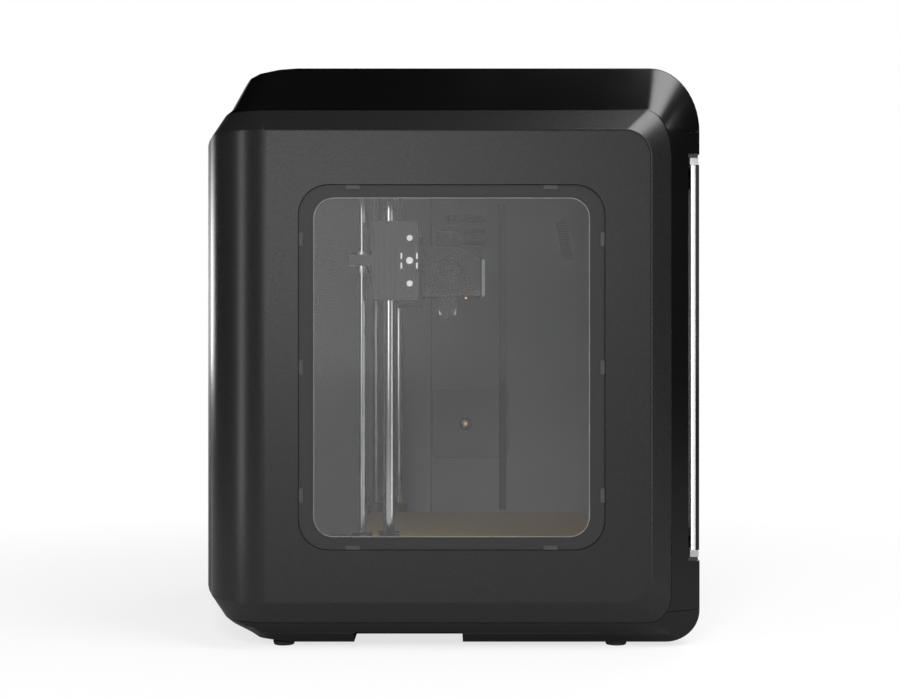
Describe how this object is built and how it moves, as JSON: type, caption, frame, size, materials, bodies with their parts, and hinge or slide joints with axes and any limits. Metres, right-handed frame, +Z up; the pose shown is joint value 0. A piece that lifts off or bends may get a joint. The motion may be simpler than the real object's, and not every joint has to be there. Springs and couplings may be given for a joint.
{
  "type": "fdm printer",
  "caption": "Enclosed desktop filament printer with a see-through side window, swinging front door, moving bed, screw-driven gantry and a spool bay beside the chamber.",
  "frame": {"origin": "centre of the footprint, on the surface that the rubber feet stand on", "axes": "+X to the user's right, -Y towards the user at the front door, +Z up"},
  "size_m": [0.5, 0.486, 0.543],
  "materials": {
    "gloss_black": "smooth moulded black",
    "panel_grey": "fine-grained dark grey moulding",
    "matte_black": "plain black moulding",
    "clear_pane": "lightly smoked clear acrylic",
    "light_clip": "light grey moulding",
    "rubber_foot": "black rubber",
    "frame_steel": "grey powder coat",
    "liner_steel": "dark powder coat",
    "ground_steel": "ground and polished rod",
    "aluminium": "machined",
    "brass": "turned brass",
    "motor_black": "black motor can",
    "belt_rubber": "toothed belt",
    "gold_sheet": "textured gold print face on spring steel",
    "screen_glass": "black glass over a screen",
    "board_green": "coated circuit board",
    "spool_grey": "moulded spool",
    "filament_white": "wound white filament"
  },
  "bodies": {
    "root": {"base_cover": "gloss_black", "front_bezel": "gloss_black", "top_cover": "gloss_black", "left_side_panel": "panel_grey", "right_side_panel": "panel_grey", "rear_panel": "panel_grey", "window_frame": "matte_black", "window_pane": "clear_pane", "window_clips": "light_clip", "feet": "rubber_foot", "chassis_frame": "frame_steel", "chassis_floor": "frame_steel", "chamber_rear_wall": "liner_steel", "partition_wall": "liner_steel", "electronics": "board_green", "z_rods": "ground_steel", "z_rod_sockets": "matte_black", "base_motors": "motor_black", "y_rods": "ground_steel", "y_belt": "belt_rubber", "door_brackets": "frame_steel", "touch_screen": "screen_glass", "spool_hub": "matte_black", "chamber_fittings": "matte_black", "power_module": "matte_black"},
    "lid": {"top_lid": "gloss_black"},
    "door": {"door_face": "gloss_black", "door_pane": "clear_pane", "door_hinge_caps": "aluminium"},
    "bay_door": {"spool_bay_door": "panel_grey"},
    "spool_body": {"spool": "spool_grey", "filament": "filament_white"},
    "gantry": {"left_x_end": "matte_black", "right_x_end": "matte_black", "z_bearings": "ground_steel", "screw_nuts": "brass", "x_rods": "ground_steel", "x_motor": "motor_black", "x_belt": "belt_rubber", "belt_tensioner": "frame_steel"},
    "left_screw": {"left_lead_screw": "ground_steel", "left_coupler": "aluminium"},
    "right_screw": {"right_lead_screw": "ground_steel", "right_coupler": "aluminium"},
    "toolhead": {"carriage": "matte_black", "toolhead_cover": "matte_black", "front_heatsink_plate": "aluminium", "hotend": "brass", "fan_duct": "matte_black", "connector_box": "matte_black"},
    "latch": {"release_latch": "matte_black"},
    "fan": {"fan_impeller": "matte_black"},
    "x_pulley": {"x_drive_pulley": "aluminium"},
    "x_idler_wheel": {"x_idler": "aluminium"},
    "bed": {"bed_carriage": "aluminium", "heated_plate": "aluminium"},
    "sheet": {"print_sheet": "gold_sheet"},
    "y_pulley": {"y_drive": "aluminium"},
    "y_idler_wheel": {"y_idler": "aluminium"},
    "rocker": {"power_rocker": "gloss_black"}
  },
  "joints": [
    {"name": "lid_lift", "type": "slide", "parent": "root", "child": "lid", "axis": [0, 0, 1], "range_m": [0, 0.08]},
    {"name": "door_swing", "type": "hinge", "parent": "root", "child": "door", "pos_m": [-0.2195, -0.2372, 0.27], "axis": [0, 0, -1], "range_deg": [0, 110]},
    {"name": "bay_door_swing", "type": "hinge", "parent": "root", "child": "bay_door", "pos_m": [0.24825, 0.1416, 0.27], "axis": [0, 0, 1], "range_deg": [0, 100]},
    {"name": "spool_spin", "type": "hinge", "parent": "root", "child": "spool_body", "pos_m": [0.2, 0.03, 0.27], "axis": [1, 0, 0], "continuous": true},
    {"name": "z_travel", "type": "slide", "parent": "root", "child": "gantry", "axis": [0, 0, 1], "range_m": [-0.2145, 0.035]},
    {"name": "left_screw_turn", "type": "hinge", "parent": "root", "child": "left_screw", "pos_m": [-0.19, 0.0761, 0.1], "axis": [0, 0, 1], "range_deg": [-11000, 11000]},
    {"name": "right_screw_turn", "type": "hinge", "parent": "root", "child": "right_screw", "pos_m": [0.096, 0.0761, 0.1], "axis": [0, 0, 1], "range_deg": [-11000, 11000]},
    {"name": "x_travel", "type": "slide", "parent": "gantry", "child": "toolhead", "axis": [1, 0, 0], "range_m": [-0.109, 0.109]},
    {"name": "x_pulley_turn", "type": "hinge", "parent": "gantry", "child": "x_pulley", "pos_m": [0.12615, 0.03, 0.3617], "axis": [0, 1, 0], "range_deg": [-1000, 1000]},
    {"name": "x_idler_turn", "type": "hinge", "parent": "gantry", "child": "x_idler_wheel", "pos_m": [-0.187, 0.03, 0.3617], "axis": [0, 1, 0], "range_deg": [-1000, 1000]},
    {"name": "fan_spin", "type": "hinge", "parent": "toolhead", "child": "fan", "pos_m": [-0.077, -0.0076, 0.3631], "axis": [1, 0, 0], "continuous": true},
    {"name": "latch_press", "type": "slide", "parent": "toolhead", "child": "latch", "axis": [1, 0, 0], "range_m": [0, 0.002], "stiffness_N_per_m": 400},
    {"name": "y_travel", "type": "slide", "parent": "root", "child": "bed", "axis": [0, 1, 0], "range_m": [-0.062, 0.124]},
    {"name": "y_pulley_turn", "type": "hinge", "parent": "root", "child": "y_pulley", "pos_m": [-0.0405, 0.195, 0.0695], "axis": [0, 0, 1], "range_deg": [-1200, 1200]},
    {"name": "y_idler_turn", "type": "hinge", "parent": "root", "child": "y_idler_wheel", "pos_m": [-0.0405, -0.205, 0.0695], "axis": [0, 0, 1], "range_deg": [-1200, 1200]},
    {"name": "sheet_lift", "type": "slide", "parent": "bed", "child": "sheet", "axis": [0, 0, 1], "range_m": [0, 0.06]},
    {"name": "rocker_tilt", "type": "hinge", "parent": "root", "child": "rocker", "pos_m": [0.1715, 0.215, 0.1395], "axis": [1, 0, 0], "range_deg": [-14, 0]}
  ],
  "couplings": [
    {"joint": "left_screw_turn", "follows": "z_travel", "rad_per_m": 785.4},
    {"joint": "right_screw_turn", "follows": "z_travel", "rad_per_m": 785.4},
    {"joint": "x_pulley_turn", "follows": "x_travel", "rad_per_m": 141.84},
    {"joint": "x_idler_turn", "follows": "x_travel", "rad_per_m": 141.84},
    {"joint": "y_pulley_turn", "follows": "y_travel", "rad_per_m": 141.84},
    {"joint": "y_idler_turn", "follows": "y_travel", "rad_per_m": 141.84}
  ]
}
